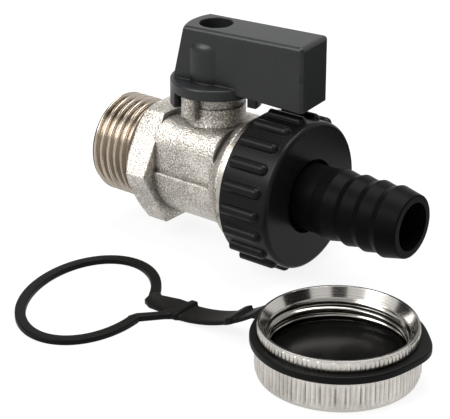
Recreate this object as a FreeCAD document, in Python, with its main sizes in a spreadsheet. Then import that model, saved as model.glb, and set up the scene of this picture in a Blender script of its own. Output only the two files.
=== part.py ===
import FreeCAD, Part
import math
import os
import re

import Sketcher

# Drain cock: a lever ball valve with a male inlet, a union nut with a hose tail, and a blanking cap
# on a rubber strap that lies beside it. Millimetres. The origin is the centre of the inlet's end,
# +X runs along the flow towards the hose tail and +Z runs up the stem.

# Driving sizes. A name ending in _turn is an angle in degrees.
SIZES = {
    # inlet thread and spanner hexagon
    "inlet_thread_radius": 10.4775,
    "inlet_length": 11.6,
    "inlet_chamfer": 0.5,
    "inlet_bore": 6.75,
    "relief_width": 1.3,
    "relief_depth": 1.2,
    "thread_pitch": 1.814,
    "thread_depth": 0.95,
    "thread_land": 0.225,
    "thread_flank": 0.5,
    "hex_across": 24.0,
    "hex_length": 5.6,
    "hex_chamfer": 1.6,
    "hex_round": 0.6,
    # ball, seats and the chamber round them
    "ball_radius": 7.7,
    "port_radius": 4.5,
    "slot_width": 2.6,
    "slot_depth": 2.0,
    "chamber_gap": 0.45,
    "seat_gap": 0.1,
    "seat_length": 3.3,
    "seat_bore": 4.7,
    "seat_fit": 0.05,
    # forged body
    "seat_setback": 0.425,
    "body_wall": 1.45,
    "insert_step": 1.05,
    "insert_fit": 0.05,
    "insert_depth": 2.6,
    "collar_drop": 0.27,
    "collar_length": 0.6,
    "flare_length": 6.0,
    "panel_depth": 0.8,
    "panel_base": 0.5,
    "panel_margin": 3.4,
    "saddle_rise": 0.35,
    "saddle_shoulder": 4.5,
    "edge_round": 0.5,
    # neck and stop lug
    "neck_wall": 2.9,
    "neck_height": 7.4,
    "neck_flare": 4.0,
    "neck_step": 0.3,
    "neck_step_drop": 3.8,
    "lug_reach": 2.6,
    "lug_height": 4.8,
    "lug_gap": 0.4,
    "lug_turn": 246.0,
    "lug_span_turn": 28.0,
    "lug_round": 1.4,
    # stem, washer and rings
    "stem_radius": 3.05,
    "stem_fit": 0.05,
    "stem_collar_radius": 4.0,
    "stem_collar_length": 1.4,
    "stem_collar_gap": 0.2,
    "stem_washer_length": 0.6,
    "tang_width": 5.6,
    "tang_fit": 0.1,
    "ring_section": 0.6,
    "ring_fit": 0.03,
    "ring_groove_width": 1.5,
    "lower_ring_rise": 2.3,
    "upper_ring_rise": 5.1,
    "stem_square": 4.2,
    "stem_square_length": 4.8,
    # lever and its screw
    "lever_turn": 6.0,
    "lever_travel_turn": 90.0,
    "lever_height": 12.5,
    "lever_length": 22.5,
    "lever_width": 10.2,
    "lever_hub_top": 4.4,
    "lever_hub_low": 7.4,
    "lever_hub_top_radius": 10.6,
    "lever_hub_low_radius": 9.3,
    "lever_hub_rise": 1.6,
    "lever_tip_drop": 2.3,
    "lever_round": 0.8,
    "lever_gap": 0.5,
    "hub_boss_radius": 5.9,
    "hub_boss_drop": 2.5,
    "hub_boss_dome": 2.0,
    "skirt_clearance": 1.3,
    "skirt_wall": 2.0,
    "skirt_overlap": 0.7,
    "skirt_height": 2.2,
    "skirt_round": 0.5,
    "tab_drop": 3.1,
    "tab_span_turn": 30.0,
    "stop_play_turn": 1.5,
    "socket_fit": 0.05,
    "socket_gap": 0.2,
    "screw_web": 1.4,
    "screw_hole_radius": 3.4,
    "screw_head_radius": 2.75,
    "screw_head_height": 2.0,
    "screw_slot_width": 0.8,
    "screw_slot_depth": 0.9,
    "screw_radius": 1.5,
    "screw_length": 6.5,
    "screw_fit": 0.1,
    # outlet insert
    "outlet_thread_radius": 13.2205,
    "outlet_length": 6.6,
    "outlet_chamfer": 0.9,
    "outlet_bore": 9.0,
    "flange_length": 1.4,
    "flange_drop": 0.336,
    "flange_groove": 0.35,
    # union nut
    "nut_gap": 0.7,
    "nut_clearance": 0.28,
    "nut_wall": 1.45,
    "nut_face_wall": 1.75,
    "nut_face_fit": 0.05,
    "nut_edge": 0.9,
    "nut_hole_gap": 0.8,
    "rib_rise": 1.1,
    "rib_radius": 1.2,
    "rear_band": 1.4,
    "front_band": 1.7,
    # hose tail and gasket
    "gasket_length": 1.8,
    "gasket_bore": 6.4,
    "tail_flange_length": 2.0,
    "tail_flange_gap": 0.7,
    "tail_shank_radius": 6.7,
    "tail_bore": 4.8,
    "barb_offset": 7.2,
    "barb_pitch": 4.1,
    "barb_rise": 0.52,
    "barb_valley": 6.65,
    "barb_back": 1.5,
    "tip_length": 4.1,
    "tip_radius": 6.36,
    "tip_round": 0.4,
    # blanking cap
    "cap_place_x": 76.7,
    "cap_place_y": -30.45,
    "cap_wall": 1.4,
    "cap_height": 10.0,
    "cap_floor": 1.8,
    "cap_thread_depth": 0.3,
    "cap_entry_depth": 1.8,
    "cap_rim_drop": 0.3,
    "cap_lip": 0.4,
    "cap_edge": 0.6,
    "cap_groove_base": 6.1,
    "cap_groove_width": 1.7,
    "cap_groove_depth": 0.7,
    "cap_gasket_length": 2.0,
    "cap_gasket_gap": 0.4,
    # strap
    "ring_play": 0.1,
    "strap_fit": 0.05,
    "strap_ring_width": 1.85,
    "tape_width": 5.9,
    "tape_thickness": 1.0,
    "tape_bend_gap": 0.58,
    "tape_bend_overrun": 1.4,
    "tape_bend_share": 0.06,
    "cleat_width": 1.7,
    "cleat_rise": 0.7,
    "cleat_overhang": 0.5,
    "upper_cleat_run": 5.9,
    "lower_cleat_reach": 35.4,
    "grip_rise": 1.08,
    "grip_width": 6.0,
    "grip_turn": 18.0,
    "loop_run": 15.15,
    "loop_drop": 6.97,
    "loop_turn": 108.4,
    "loop_half_length": 17.6,
    "loop_half_width": 12.0,
    "loop_end_radius": 9.0,
    "loop_band": 2.1,
    "loop_thickness": 1.2,
    "yoke_upper_run": 4.61,
    "yoke_lower_run": 6.11,
    "yoke_lower_inset": 0.7,
    "notch_setback": 2.8,
    "notch_drop": 2.7,
    "notch_upper_run": 2.02,
    "notch_lower_run": 3.58,
}

# Stations and radii that follow from the driving sizes, in the order in which they build up.
DERIVED = {
    "hex_end": "inlet_length + hex_length",
    "hex_corner": "hex_across / sqrt(3)",
    "chamber_radius": "ball_radius + chamber_gap",
    "insert_radius": "chamber_radius + insert_step",
    "barrel_radius": "insert_radius + body_wall",
    "collar_radius": "outlet_thread_radius - collar_drop",
    "collar_rise": "collar_radius - barrel_radius",
    "seat_ball_radius": "ball_radius + seat_gap",
    "seat_reach": "sqrt(seat_ball_radius ^ 2 - seat_bore ^ 2) + 1.25",
    "seat_tip_reach": "seat_reach - seat_length",
    "seat_tip_radius": "sqrt(seat_ball_radius ^ 2 - seat_tip_reach ^ 2)",
    "stem_x": "hex_end + seat_setback + seat_reach",
    "seat_x": "stem_x - seat_reach",
    "insert_x": "stem_x + seat_reach",
    "body_end": "insert_x + insert_depth",
    "collar_x": "body_end - collar_length",
    "flare_x": "collar_x - flare_length",
    "flare_arc": "(flare_length ^ 2 + collar_rise ^ 2) / (2 * collar_rise)",
    "panel_half": "barrel_radius - panel_depth",
    "panel_end": "body_end - panel_margin",
    "saddle_top": "barrel_radius + saddle_rise",
    "stem_bore": "stem_radius + stem_fit",
    "neck_radius": "stem_bore + neck_wall",
    "neck_top": "saddle_top + neck_height",
    "neck_step_z": "neck_top - neck_step_drop",
    "neck_root": "saddle_top - neck_flare",
    "lug_radius": "neck_radius + lug_reach",
    "skirt_base": "neck_top - skirt_overlap",
    "lug_top": "skirt_base - lug_gap",
    "lug_base": "lug_top - lug_height",
    "stem_collar_z": "ball_radius + stem_collar_gap",
    "stem_washer_z": "stem_collar_z + stem_collar_length",
    "stem_shoulder_z": "stem_washer_z + stem_washer_length",
    "stem_pocket": "stem_collar_radius + 3 * stem_fit",
    "slot_floor": "ball_radius - slot_depth",
    "ring_centre": "stem_bore - ring_fit - ring_section",
    "ring_floor": "ring_centre - ring_section - ring_fit",
    "lower_ring_z": "stem_shoulder_z + lower_ring_rise",
    "upper_ring_z": "stem_shoulder_z + upper_ring_rise",
    "stem_square_z": "neck_top + stem_square_length / 24",
    "stem_top": "neck_top + stem_square_length",
    "recess_radius": "neck_radius + skirt_clearance",
    "skirt_radius": "recess_radius + skirt_wall",
    "skirt_top": "skirt_base + skirt_height",
    "recess_top": "neck_top + lever_gap",
    "lever_top": "neck_top + lever_height",
    "hub_base": "neck_top + lever_hub_rise",
    "tip_base": "hub_base - lever_tip_drop",
    "hub_boss_top": "lever_top - hub_boss_drop",
    "tab_base": "skirt_base - tab_drop",
    "open_tab_turn": "lug_turn - stop_play_turn - tab_span_turn - lever_turn",
    "shut_tab_turn": "lug_turn + lug_span_turn + stop_play_turn + lever_travel_turn - lever_turn",
    "socket_top": "stem_top + socket_gap",
    "screw_seat": "socket_top + screw_web",
    "screw_tip": "screw_seat - screw_length",
    "flange_end": "body_end + flange_length",
    "flange_radius": "hex_corner - flange_drop",
    "outlet_end": "flange_end + outlet_length",
    "gasket_end": "outlet_end + gasket_length",
    "tail_flange_end": "gasket_end + tail_flange_length",
    "nut_start": "flange_end + nut_gap",
    "nut_wall_x": "tail_flange_end + nut_face_fit",
    "nut_end": "nut_wall_x + nut_face_wall",
    "nut_bore": "outlet_thread_radius + nut_clearance",
    "nut_radius": "nut_bore + nut_wall",
    "rib_crest": "nut_radius + rib_rise",
    "rib_axis": "rib_crest - rib_radius",
    "rib_start": "nut_start + rear_band",
    "rib_end": "nut_end - front_band",
    "nut_hole": "tail_shank_radius + nut_hole_gap",
    "tail_flange_radius": "nut_bore - tail_flange_gap",
    "first_barb": "nut_end + barb_offset",
    "barb_crest": "barb_valley + barb_rise",
    "cap_radius": "outlet_thread_radius + cap_wall",
    "cap_bore": "outlet_thread_radius - cap_thread_depth",
    "cap_rim_radius": "cap_radius - cap_rim_drop",
    "cap_groove_top": "cap_groove_base + cap_groove_width",
    "cap_groove_radius": "cap_radius - cap_groove_depth",
    "strap_ring_bore": "cap_groove_radius + strap_fit",
    "strap_ring_radius": "strap_ring_bore + strap_ring_width",
    "strap_base": "cap_groove_base + ring_play",
    "strap_top": "cap_groove_top - ring_play",
    "grip_reach": "strap_ring_radius + grip_rise",
    "tape_bend_start": "strap_ring_radius + tape_bend_gap",
    "tape_bend_end": "lower_cleat_reach + tape_bend_overrun",
    "upper_cleat_reach": "tape_bend_start + upper_cleat_run",
    "notch_reach": "lower_cleat_reach + notch_setback",
    "loop_reach": "notch_reach + loop_run",
    "tape_bend": "tape_bend_end - tape_bend_start",
    "tape_joint": "tape_bend_start + tape_bend_share * tape_bend",
    "tape_joint_z": "strap_base * (1 - tape_bend_share)",
    "tape_arc": "(tape_bend ^ 2 + strap_base ^ 2) / (2 * strap_base)",
    "tape_near_arc": "tape_bend_share * tape_arc",
    "tape_far_arc": "tape_arc - tape_near_arc",
    "upper_cleat_base": "tape_far_arc - sqrt(tape_far_arc ^ 2 - (tape_bend_end - upper_cleat_reach) ^ 2)",
    "loop_end_x": "loop_half_length - loop_end_radius",
    "loop_side_radius": "(loop_end_x ^ 2 + loop_half_width ^ 2 - loop_end_radius ^ 2)"
                        " / (2 * (loop_half_width - loop_end_radius))",
    "loop_side_drop": "loop_side_radius - loop_half_width",
    "loop_span": "loop_side_radius - loop_end_radius",
}

RIBS = 20
BARBS = 4

doc = FreeCAD.newDocument("drain_cock")


def make_sheet():
    """Put every driving size and derived station in a spreadsheet, one alias each."""
    made = doc.addObject("Spreadsheet::Sheet", "dims")
    row = 0
    for name, number in SIZES.items():
        row += 1
        made.set(f"A{row}", name)
        made.set(f"B{row}", str(number))
        made.setAlias(f"B{row}", name)
    for name, formula in DERIVED.items():
        row += 1
        made.set(f"A{row}", name)
        made.set(f"B{row}", "=" + formula)
        made.setAlias(f"B{row}", name)
    doc.recompute()
    return made


sheet = make_sheet()
ALIASES = set(SIZES) | set(DERIVED)


def size(expression):
    """Number that an expression over the sheet's names has now."""
    return float(sheet.evalExpression(expression))


def bound(expression):
    """The same expression as other objects of the document write it."""
    return re.sub(r"[a-z_]+", lambda word: "dims." + word[0] if word[0] in ALIASES else word[0], expression)


def bind(thing, prop, expression):
    """Tie one property of an object to the sheet."""
    thing.setExpression(prop, bound(expression))


def new_body(label, place=("0", "0", "0"), turn="0"):
    """Start a sub-part with its own label and placement."""
    body = doc.addObject("PartDesign::Body", label)
    body.Label = label
    body.Placement = FreeCAD.Placement(FreeCAD.Vector(), FreeCAD.Rotation(FreeCAD.Vector(0, 0, 1), size(turn)))
    for axis, expression in zip("xyz", place):
        bind(body, f"Placement.Base.{axis}", expression)
    bind(body, "Placement.Rotation.Angle", turn)
    return body


def new_sketch(body, name, role, offset=("0", "0", "0"), spin=((0, 0, 1), "0")):
    """Sketch on one of the body's origin planes, shifted and spun by bound amounts."""
    axis, turn = spin
    made = body.newObject("Sketcher::SketchObject", name)
    plane = next(item for item in body.Origin.OriginFeatures if item.Role == role)
    made.AttachmentSupport = (plane, [""])
    made.MapMode = "FlatFace"
    made.AttachmentOffset = FreeCAD.Placement(
        FreeCAD.Vector(), FreeCAD.Rotation(FreeCAD.Vector(*axis), size(turn)))
    for letter, expression in zip("xyz", offset):
        bind(made, f"AttachmentOffset.Base.{letter}", expression)
    bind(made, "AttachmentOffset.Rotation.Angle", turn)
    return made


def arc_between(start, end, radius, side):
    """Short arc from start to end, with its centre to the left (side 1) or right (side -1) of the way."""
    along = end - start
    half = along.Length / 2
    left = FreeCAD.Vector(-along.y, along.x, 0) / along.Length
    centre = (start + end) / 2 + left * (side * math.sqrt(max(radius ** 2 - half ** 2, 0)))
    first, last = (start, end) if side > 0 else (end, start)
    angles = [math.atan2((point - centre).y, (point - centre).x) for point in (first, last)]
    circle = Part.Circle(centre, FreeCAD.Vector(0, 0, 1), radius)
    return Part.ArcOfCircle(circle, *angles)


def outline(sketch, corners):
    """Draw a closed outline whose corners are bound to the sheet.

    A corner is (x, y), or (x, y, radius, side) where an arc of that radius leads to it from the corner
    before, with its centre to the left (side 1) or right (side -1) of the way.
    """
    points = [FreeCAD.Vector(size(corner[0]), size(corner[1]), 0) for corner in corners]
    count = len(corners)
    base = sketch.GeometryCount
    starts = []
    ends = []
    for index in range(count):
        following = corners[(index + 1) % count]
        start = points[index]
        end = points[(index + 1) % count]
        if len(following) == 2:
            sketch.addGeometry(Part.LineSegment(start, end), False)
            starts.append(1)
            ends.append(2)
        else:
            sketch.addGeometry(arc_between(start, end, size(following[2]), following[3]), False)
            starts.append(1 if following[3] > 0 else 2)
            ends.append(2 if following[3] > 0 else 1)
    for index in range(count):
        before = (index - 1) % count
        sketch.addConstraint(Sketcher.Constraint(
            "Coincident", base + before, ends[before], base + index, starts[index]))
    for index, corner in enumerate(corners):
        for kind, expression in zip(("DistanceX", "DistanceY"), corner):
            spot = sketch.addConstraint(Sketcher.Constraint(
                kind, -1, 1, base + index, starts[index], size(expression)))
            bind(sketch, f"Constraints[{spot}]", expression)
        if len(corner) > 2:
            arc = base + (index - 1) % count
            spot = sketch.addConstraint(Sketcher.Constraint("Radius", arc, size(corner[2])))
            bind(sketch, f"Constraints[{spot}]", corner[2])
    return sketch


def turned(body, name, corners, kind="Revolution", axis="H_Axis", offset=("0", "0", "0")):
    """Turn a profile about the flow axis (H_Axis) or an upright axis (V_Axis); kind Groove cuts it."""
    profile = outline(new_sketch(body, name + "_profile", "XZ_Plane", offset), corners)
    feature = body.newObject("PartDesign::" + kind, name)
    feature.Profile = profile
    feature.ReferenceAxis = (profile, [axis])
    feature.Angle = 360
    return feature


def sector(body, name, corners, start, sweep, x="0"):
    """Turn an upright profile about a vertical axis by part of a circle, from a start angle."""
    spin = ((0, 1, 0), start)
    profile = outline(new_sketch(body, name + "_profile", "XZ_Plane", (x, "0", "0"), spin), corners)
    feature = body.newObject("PartDesign::Revolution", name)
    feature.Profile = profile
    feature.ReferenceAxis = (profile, ["V_Axis"])
    bind(feature, "Angle", sweep)
    return feature


def raised(body, name, role, corner_sets, length, offset=("0", "0", "0"), kind="Pad", both=False, spin="0"):
    """Pad, or with kind Pocket cut, outlines along their plane's normal, or to both sides of it."""
    sketch = new_sketch(body, name + "_outline", role, offset, ((0, 0, 1), spin))
    for corners in corner_sets:
        outline(sketch, corners)
    feature = body.newObject("PartDesign::" + kind, name)
    feature.Profile = sketch
    feature.Midplane = both
    bind(feature, "Length", length)
    return feature


def box_corners(left, right, low, high):
    """Corners of an upright rectangle in a sketch."""
    return [(left, low), (right, low), (right, high), (left, high)]


def round_edges(body, name, feature, keep, radius):
    """Fillet the edges of a feature that a test picks."""
    doc.recompute()
    chosen = [f"Edge{number}" for number, edge in enumerate(feature.Shape.Edges, 1) if keep(edge)]
    fillet = body.newObject("PartDesign::Fillet", name)
    fillet.Base = (feature, chosen)
    bind(fillet, "Radius", radius)
    doc.recompute()
    return fillet


def middle(edge):
    """Point half way along an edge."""
    return edge.valueAt((edge.FirstParameter + edge.LastParameter) / 2)


def thread_turns(start, room, crest):
    """Profile corners of as many thread turns as there is room for: a land, then a groove with sloping flanks.

    The turns are plain rings at the thread's pitch, without its lead.
    """
    root = f"{crest} - thread_depth"
    corners = []
    for number in range(math.floor(size(f"({room} - thread_land) / thread_pitch"))):
        groove = f"{start} + thread_land + {number} * thread_pitch"
        corners += [
            (groove, crest),
            (f"{groove} + thread_flank", root),
            (f"{groove} + thread_pitch - thread_land - thread_flank", root),
            (f"{groove} + thread_pitch - thread_land", crest),
        ]
    return corners


def make_valve_body():
    """Forged body: inlet thread, hexagon, barrel with flat cheeks, collar, neck and stop lug."""
    body = new_body("valve_body")
    thread = "inlet_thread_radius"
    turned(body, "barrel", [
        ("0", "0"),
        ("0", f"{thread} - inlet_chamfer"),
        ("inlet_chamfer", thread),
        *thread_turns("inlet_chamfer", "inlet_length - relief_width - inlet_chamfer", thread),
        ("inlet_length - relief_width", thread),
        ("inlet_length - relief_width", f"{thread} - relief_depth"),
        ("inlet_length", f"{thread} - relief_depth"),
        ("inlet_length", "barrel_radius"),
        ("flare_x", "barrel_radius"),
        ("collar_x", "collar_radius", "flare_arc", 1),
        ("body_end", "collar_radius"),
        ("body_end", "0"),
    ])
    corner = "hex_corner"
    flat = "hex_across / 2"
    hexagon = raised(body, "hexagon", "YZ_Plane", [[
        (corner, "0"),
        (f"{corner} / 2", flat),
        (f"-{corner} / 2", flat),
        (f"-{corner}", "0"),
        (f"-{corner} / 2", f"-{flat}"),
        (f"{corner} / 2", f"-{flat}"),
    ]], "hex_length", ("0", "0", "inlet_length"))

    def at_corner(edge):
        spot = middle(edge)
        along = size("inlet_length") + 0.01 < spot.x < size("hex_end") - 0.01
        return along and math.hypot(spot.y, spot.z) > size("hex_corner") - 0.01

    round_edges(body, "hexagon_edges", hexagon, at_corner, "hex_round")
    turned(body, "hexagon_chamfer", [
        ("inlet_length", f"{corner} - hex_chamfer"),
        ("inlet_length + hex_chamfer", f"{corner} + hex_chamfer / 2"),
        ("inlet_length", f"{corner} + hex_chamfer / 2"),
    ], "Groove")
    cheek = "panel_half"
    raised(body, "panel_cuts", "YZ_Plane", [
        box_corners(cheek, "collar_radius + 1", "panel_base", "collar_radius + 1"),
        box_corners("-collar_radius - 1", f"-{cheek}", "panel_base", "collar_radius + 1"),
    ], "panel_end - hex_end", ("0", "0", "hex_end"), "Pocket").Reversed = True
    shoulder = "saddle_shoulder"
    raised(body, "saddle", "YZ_Plane", [[
        (cheek, "0"),
        (cheek, f"saddle_top - {shoulder}"),
        (f"{cheek} - {shoulder}", "saddle_top", shoulder, 1),
        (f"{shoulder} - {cheek}", "saddle_top"),
        (f"-{cheek}", f"saddle_top - {shoulder}", shoulder, 1),
        (f"-{cheek}", "0"),
    ]], "panel_end - hex_end + edge_round", ("0", "0", "hex_end - edge_round / 2"))
    neck = "neck_radius"
    turned(body, "neck", [
        ("0", "0"),
        (f"{neck} + neck_flare * 0.8", "neck_root"),
        (f"{neck} + neck_flare * 0.8", "saddle_top - neck_flare * 0.6"),
        (neck, "saddle_top + neck_flare * 0.4", "neck_flare", -1),
        (neck, "neck_step_z"),
        (f"{neck} - neck_step", "neck_step_z"),
        (f"{neck} - neck_step", "neck_top"),
        ("0", "neck_top"),
    ], "Revolution", "V_Axis", ("stem_x", "0", "0"))
    lug = sector(body, "stop_lug", box_corners("stem_bore + neck_wall / 2", "lug_radius", "lug_base", "lug_top"),
                 "lug_turn", "lug_span_turn", "stem_x")

    def lug_edge(edge):
        spot = middle(edge)
        reach = math.hypot(spot.x - size("stem_x"), spot.y)
        return abs(reach - size("lug_radius")) < 0.01 and size("lug_base") - 0.01 < spot.z < size("lug_top") - 0.01

    round_edges(body, "lug_edges", lug, lug_edge, "lug_round")
    turned(body, "waterway", [
        ("0", "0"),
        ("0", "inlet_bore"),
        ("hex_end - 2 * edge_round", "inlet_bore"),
        ("hex_end - edge_round", "seat_bore"),
        ("seat_x", "seat_bore"),
        ("seat_x", "chamber_radius"),
        ("stem_x + seat_tip_reach / 2", "chamber_radius"),
        ("stem_x + seat_tip_reach / 2", "insert_radius"),
        ("body_end", "insert_radius"),
        ("body_end", "0"),
    ], "Groove")
    tip = turned(body, "stem_passage", [
        ("0", "0"),
        ("stem_pocket", "0"),
        ("stem_pocket", "stem_shoulder_z"),
        ("stem_bore", "stem_shoulder_z"),
        ("stem_bore", "neck_top"),
        ("0", "neck_top"),
    ], "Groove", "V_Axis", ("stem_x", "0", "0"))
    body.Tip = tip
    return body


def make_outlet_insert():
    """Threaded bush that closes the chamber and carries the outlet thread."""
    body = new_body("outlet_insert")
    turned(body, "bush", [
        ("insert_x", "seat_bore"),
        ("insert_x", "insert_radius - insert_fit"),
        ("body_end", "insert_radius - insert_fit"),
        ("body_end", "collar_radius - flange_groove"),
        ("body_end + flange_groove", "collar_radius - flange_groove"),
        ("body_end + flange_groove", "flange_radius"),
        ("flange_end", "flange_radius"),
        ("flange_end", "outlet_thread_radius"),
        *thread_turns("flange_end", "outlet_length - outlet_chamfer", "outlet_thread_radius"),
        ("outlet_end - outlet_chamfer", "outlet_thread_radius"),
        ("outlet_end", "outlet_thread_radius - outlet_chamfer"),
        ("outlet_end", "outlet_bore"),
        ("flange_end", "outlet_bore"),
        ("body_end", "seat_bore"),
    ])
    return body


def make_seat(label, mirror):
    """PTFE ring with a ball-shaped face; mirror is 1 on the inlet side and -1 on the outlet side."""
    body = new_body(label, ("stem_x", "0", "0"))
    sign = "-" if mirror > 0 else ""
    turned(body, "ring", [
        (f"{sign}seat_reach", "seat_bore"),
        (f"{sign}seat_reach", "chamber_radius - seat_fit"),
        (f"{sign}seat_tip_reach", "chamber_radius - seat_fit"),
        (f"{sign}seat_tip_reach", "seat_tip_radius"),
        (f"{sign}sqrt(seat_ball_radius ^ 2 - seat_bore ^ 2)", "seat_bore", "seat_ball_radius", mirror),
    ])
    return body


def make_ball():
    """Chromed ball with its port along the flow and a slot for the stem's tang across the top."""
    sphere = doc.addObject("Part::Sphere", "ball_sphere")
    bind(sphere, "Radius", "ball_radius")
    port = doc.addObject("Part::Cylinder", "ball_port")
    bind(port, "Radius", "port_radius")
    bind(port, "Height", "4 * ball_radius")
    port.Placement.Rotation = FreeCAD.Rotation(FreeCAD.Vector(0, 1, 0), 90)
    bind(port, "Placement.Base.x", "-2 * ball_radius")
    slot = doc.addObject("Part::Box", "ball_slot")
    bind(slot, "Length", "slot_width")
    bind(slot, "Width", "4 * ball_radius")
    bind(slot, "Height", "2 * slot_depth")
    bind(slot, "Placement.Base.x", "-slot_width / 2")
    bind(slot, "Placement.Base.y", "-2 * ball_radius")
    bind(slot, "Placement.Base.z", "slot_floor")
    bored = doc.addObject("Part::Cut", "ball_bored")
    bored.Base = sphere
    bored.Tool = port
    ball = doc.addObject("Part::Cut", "ball")
    ball.Base = bored
    ball.Tool = slot
    ball.Label = "ball"
    bind(ball, "Placement.Base.x", "stem_x")
    return ball


def make_stem():
    """Stem with a tang for the ball, a collar that holds it in, two ring grooves and a square."""
    body = new_body("stem", ("stem_x", "0", "0"))
    corners = [
        ("0", "stem_collar_z"),
        ("stem_collar_radius", "stem_collar_z"),
        ("stem_collar_radius", "stem_washer_z"),
        ("stem_radius", "stem_washer_z"),
    ]
    for ring in ("lower_ring_z", "upper_ring_z"):
        corners += [
            ("stem_radius", f"{ring} - ring_groove_width / 2"),
            ("ring_floor", f"{ring} - ring_groove_width / 2"),
            ("ring_floor", f"{ring} + ring_groove_width / 2"),
            ("stem_radius", f"{ring} + ring_groove_width / 2"),
        ]
    corners += [("stem_radius", "stem_square_z"), ("0", "stem_square_z")]
    turned(body, "shaft", corners, "Revolution", "V_Axis")
    thin = "slot_width / 2 - tang_fit"
    raised(body, "tang", "XY_Plane",
           [box_corners(f"tang_fit - slot_width / 2", thin, "-tang_width / 2", "tang_width / 2")],
           "stem_collar_z - slot_floor - tang_fit", ("0", "0", "slot_floor + tang_fit"))
    half = "stem_square / 2"
    raised(body, "square", "XY_Plane", [box_corners(f"-{half}", half, f"-{half}", half)],
           "stem_top - stem_square_z", ("0", "0", "stem_square_z"), "Pad", False, "lever_turn")
    tip = turned(body, "screw_hole", [
        ("0", "screw_tip - socket_gap"),
        ("screw_radius + screw_fit / 2", "screw_tip - socket_gap"),
        ("screw_radius + screw_fit / 2", "stem_top"),
        ("0", "stem_top"),
    ], "Groove", "V_Axis")
    body.Tip = tip
    return body


def make_stem_washer():
    """PTFE thrust washer between the stem's collar and the body."""
    body = new_body("stem_washer", ("stem_x", "0", "0"))
    turned(body, "washer", box_corners(
        "stem_bore", "stem_collar_radius", "stem_washer_z", "stem_shoulder_z"),
        "Revolution", "V_Axis")
    return body


def make_o_ring(label, height):
    """Rubber ring in one of the stem's grooves."""
    ring = doc.addObject("Part::Torus", label)
    ring.Label = label
    bind(ring, "Radius1", "ring_centre")
    bind(ring, "Radius2", "ring_section")
    bind(ring, "Placement.Base.x", "stem_x")
    bind(ring, "Placement.Base.z", height)
    return ring


def make_lever():
    """Moulded lever: drafted paddle, hub boss that shows in both sides, round skirt and two stop tabs."""
    body = new_body("lever", ("stem_x", "0", "0"), "lever_turn")
    half = "lever_width / 2"

    def plan(name, hub, radius, height):
        sketch = new_sketch(body, name, "XY_Plane", ("0", "0", height))
        return outline(sketch, [
            (f"-{hub}", f"-{half}"),
            ("lever_length", f"-{half}"),
            ("lever_length", half),
            (f"-{hub}", half),
        ][1:] + [(f"-{hub}", f"-{half}", radius, 1)])

    low = plan("paddle_low", "lever_hub_low", "lever_hub_low_radius", "tip_base")
    high = plan("paddle_high", "lever_hub_top", "lever_hub_top_radius", "lever_top")
    paddle = body.newObject("PartDesign::AdditiveLoft", "paddle")
    paddle.Profile = low
    paddle.Sections = [high]
    paddle.Ruled = True
    under = raised(body, "underside", "XZ_Plane", [[
        ("lever_length + 1", "tip_base - 1"),
        ("lever_length", "tip_base"),
        ("-lever_hub_low - 3", "hub_base"),
        ("-lever_hub_low - 3", "tip_base - 1"),
    ]], "2 * lever_width", ("0", "0", "0"), "Pocket", True)

    def top_or_tip(edge):
        spot = middle(edge)
        on_top = abs(spot.z - size("lever_top")) < 0.01
        at_tip = abs(spot.x - size("lever_length")) < 0.01
        upright = abs(edge.tangentAt(edge.FirstParameter).z) > 0.9
        return on_top or (at_tip and upright)

    round_edges(body, "moulded_edges", under, top_or_tip, "lever_round")
    boss = "hub_boss_radius"
    turned(body, "hub_boss", [
        ("0", "skirt_base"),
        (boss, "skirt_base"),
        (boss, "hub_boss_top - hub_boss_dome"),
        (f"{boss} - hub_boss_dome", "hub_boss_top", "hub_boss_dome", 1),
        ("0", "hub_boss_top"),
    ], "Revolution", "V_Axis")
    skirt = "skirt_radius"
    turned(body, "skirt", [
        ("0", "skirt_base"),
        (skirt, "skirt_base"),
        (skirt, "skirt_top - skirt_round"),
        (f"{skirt} - skirt_round", "skirt_top", "skirt_round", 1),
        ("0", "skirt_top"),
    ], "Revolution", "V_Axis")
    for name, start in (("open_tab", "open_tab_turn"), ("shut_tab", "shut_tab_turn")):
        sector(body, name, box_corners("recess_radius", skirt, "tab_base", "skirt_top - skirt_round"),
               start, "tab_span_turn")
    turned(body, "recess", box_corners("0", "recess_radius", "skirt_base", "recess_top"), "Groove", "V_Axis")
    turned(body, "screw_well", [
        ("0", "socket_top"),
        ("screw_radius + screw_fit", "socket_top"),
        ("screw_radius + screw_fit", "screw_seat"),
        ("screw_hole_radius", "screw_seat"),
        ("screw_hole_radius", "lever_top"),
        ("0", "lever_top"),
    ], "Groove", "V_Axis")
    side = "(stem_square / 2 + socket_fit)"
    socket = raised(body, "socket", "XY_Plane", [box_corners(f"-{side}", side, f"-{side}", side)],
                    "socket_top - recess_top", ("0", "0", "recess_top"), "Pocket")
    socket.Reversed = True
    body.Tip = socket
    return body


def make_lever_screw():
    """Slotted screw that holds the lever down on the stem's square."""
    body = new_body("lever_screw", ("stem_x", "0", "0"), "lever_turn")
    turned(body, "screw", [
        ("0", "screw_tip"),
        ("screw_radius", "screw_tip"),
        ("screw_radius", "screw_seat"),
        ("screw_head_radius", "screw_seat"),
        ("screw_head_radius", "screw_seat + screw_head_height"),
        ("0", "screw_seat + screw_head_height"),
    ], "Revolution", "V_Axis")
    slot = "screw_slot_width / 2"
    raised(body, "driver_slot", "XY_Plane",
           [box_corners("-2 * screw_head_radius", "2 * screw_head_radius", f"-{slot}", slot)],
           "screw_slot_depth", ("0", "0", "screw_seat + screw_head_height"), "Pocket")
    return body


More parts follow.
